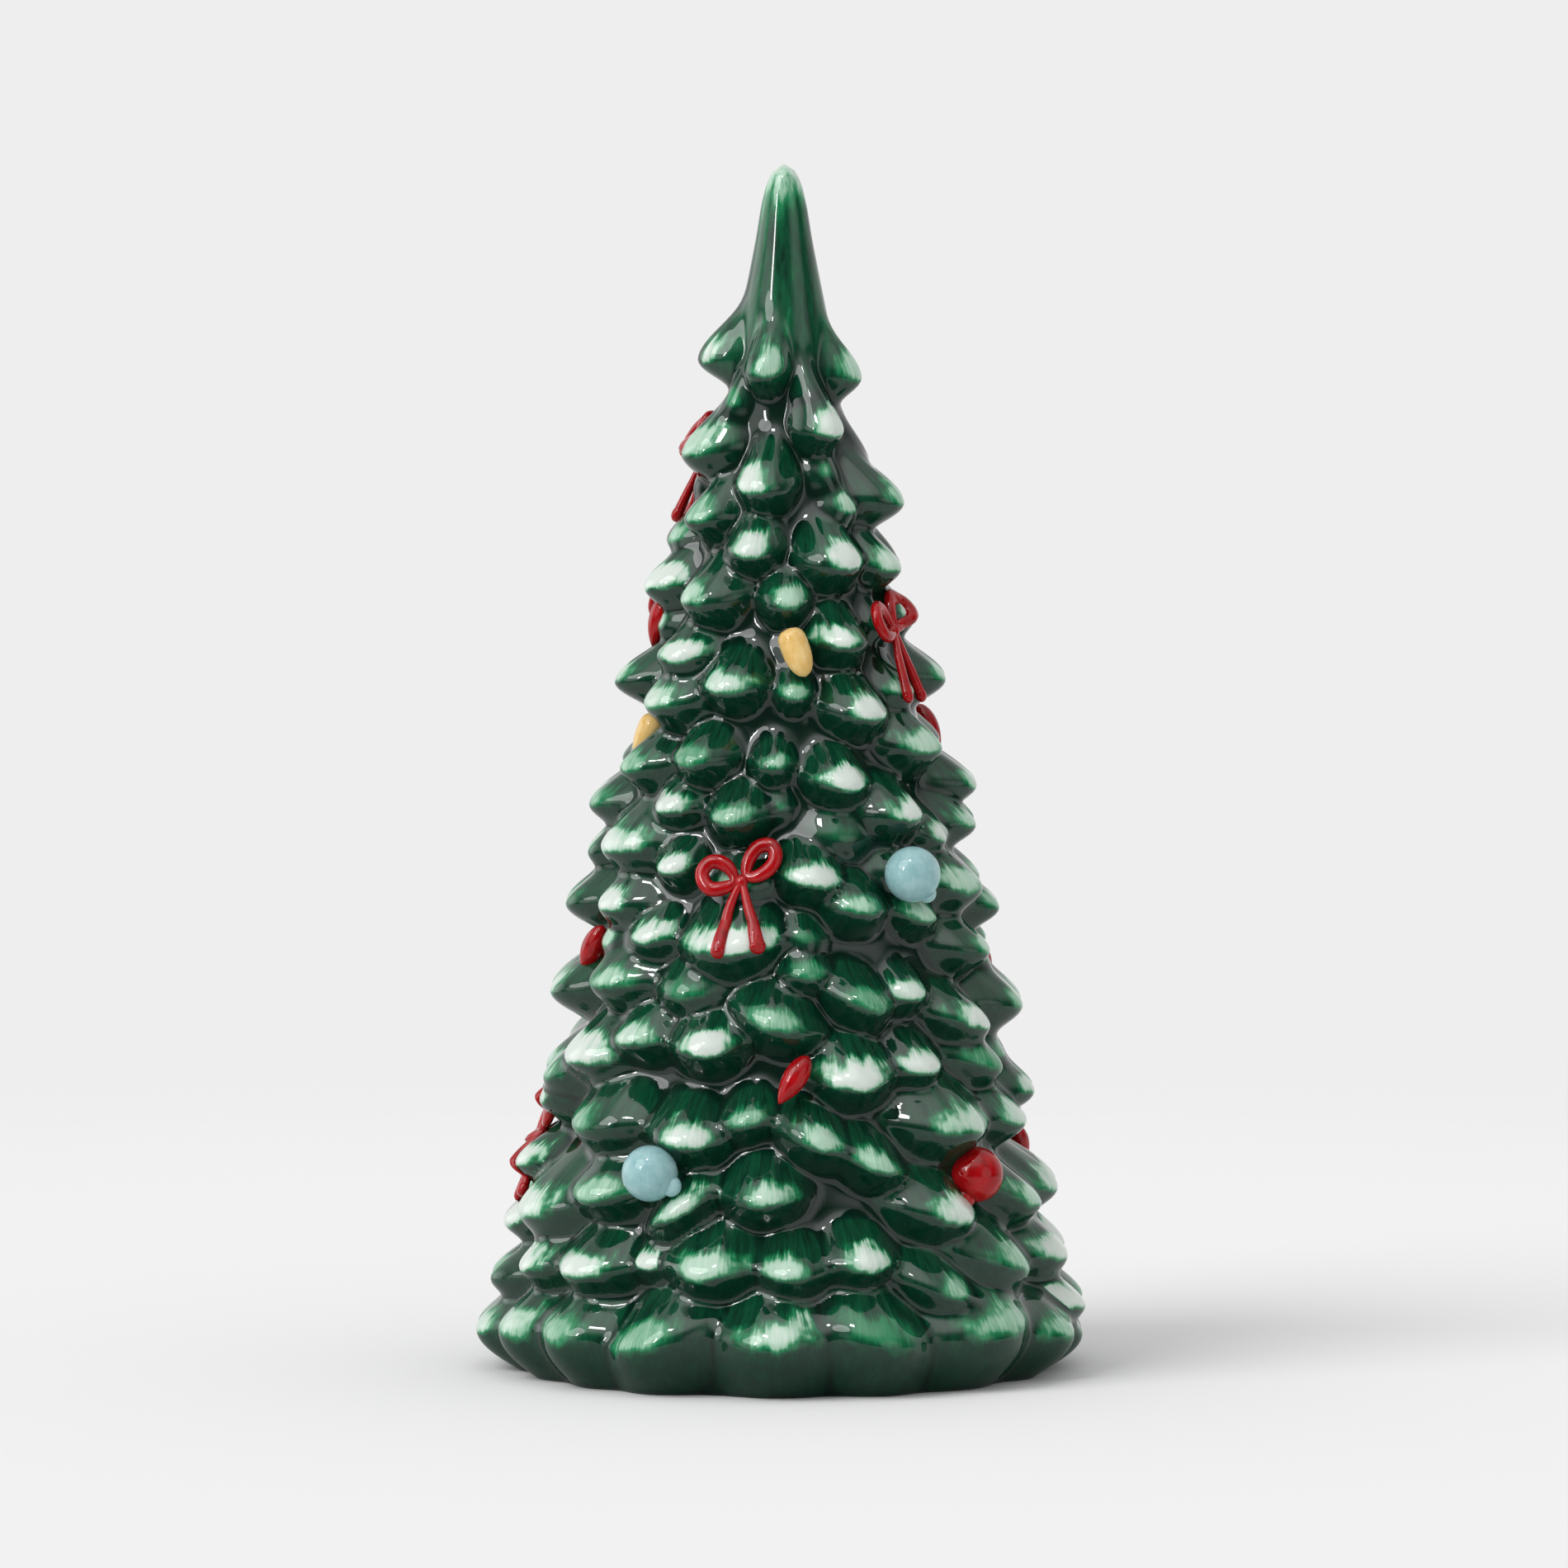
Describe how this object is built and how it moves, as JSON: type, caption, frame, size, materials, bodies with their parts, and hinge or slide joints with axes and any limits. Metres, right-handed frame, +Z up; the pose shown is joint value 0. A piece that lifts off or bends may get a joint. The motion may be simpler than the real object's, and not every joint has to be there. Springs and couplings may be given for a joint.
{
  "type": "ceramic christmas tree figurine",
  "caption": "Standing glazed ceramic tree figurine: tapering rows of rounded branches under a smooth spire, with bows, baubles and bulbs set on the branches, on a flat foot.",
  "frame": {"origin": "centre of the tree's axis on the table, under the flat foot", "axes": "+Z up along the tree to its tip, the side with the large bow faces -Y, +X to that side's right"},
  "size_m": [0.1279, 0.127, 0.25],
  "materials": {
    "green_glaze": "deep green glaze breaking to pale tips, high gloss",
    "enamel_red": "opaque red enamel, high gloss",
    "enamel_blue": "opaque pale blue enamel, high gloss",
    "enamel_yellow": "opaque yellow ochre enamel, high gloss"
  },
  "bodies": {
    "root": {"tree_body": "green_glaze", "bow_front": "enamel_red", "bow_right": "enamel_red", "bow_low_left": "enamel_red", "bow_high_left": "enamel_red", "bow_back": "enamel_red", "bow_back_high": "enamel_red", "bauble_blue_right": "enamel_blue", "bauble_blue_left": "enamel_blue", "bauble_red_right": "enamel_red", "bauble_red_back": "enamel_red", "bauble_red_back_low": "enamel_red", "bauble_blue_back": "enamel_blue", "light_yellow_front": "enamel_yellow", "light_yellow_left": "enamel_yellow", "light_red_front": "enamel_red", "light_red_left": "enamel_red", "light_red_high_left": "enamel_red", "light_red_low_right": "enamel_red", "light_red_right": "enamel_red", "light_red_back": "enamel_red", "light_red_back_right": "enamel_red", "light_yellow_back": "enamel_yellow", "light_yellow_back_right": "enamel_yellow"}
  },
  "joints": []
}
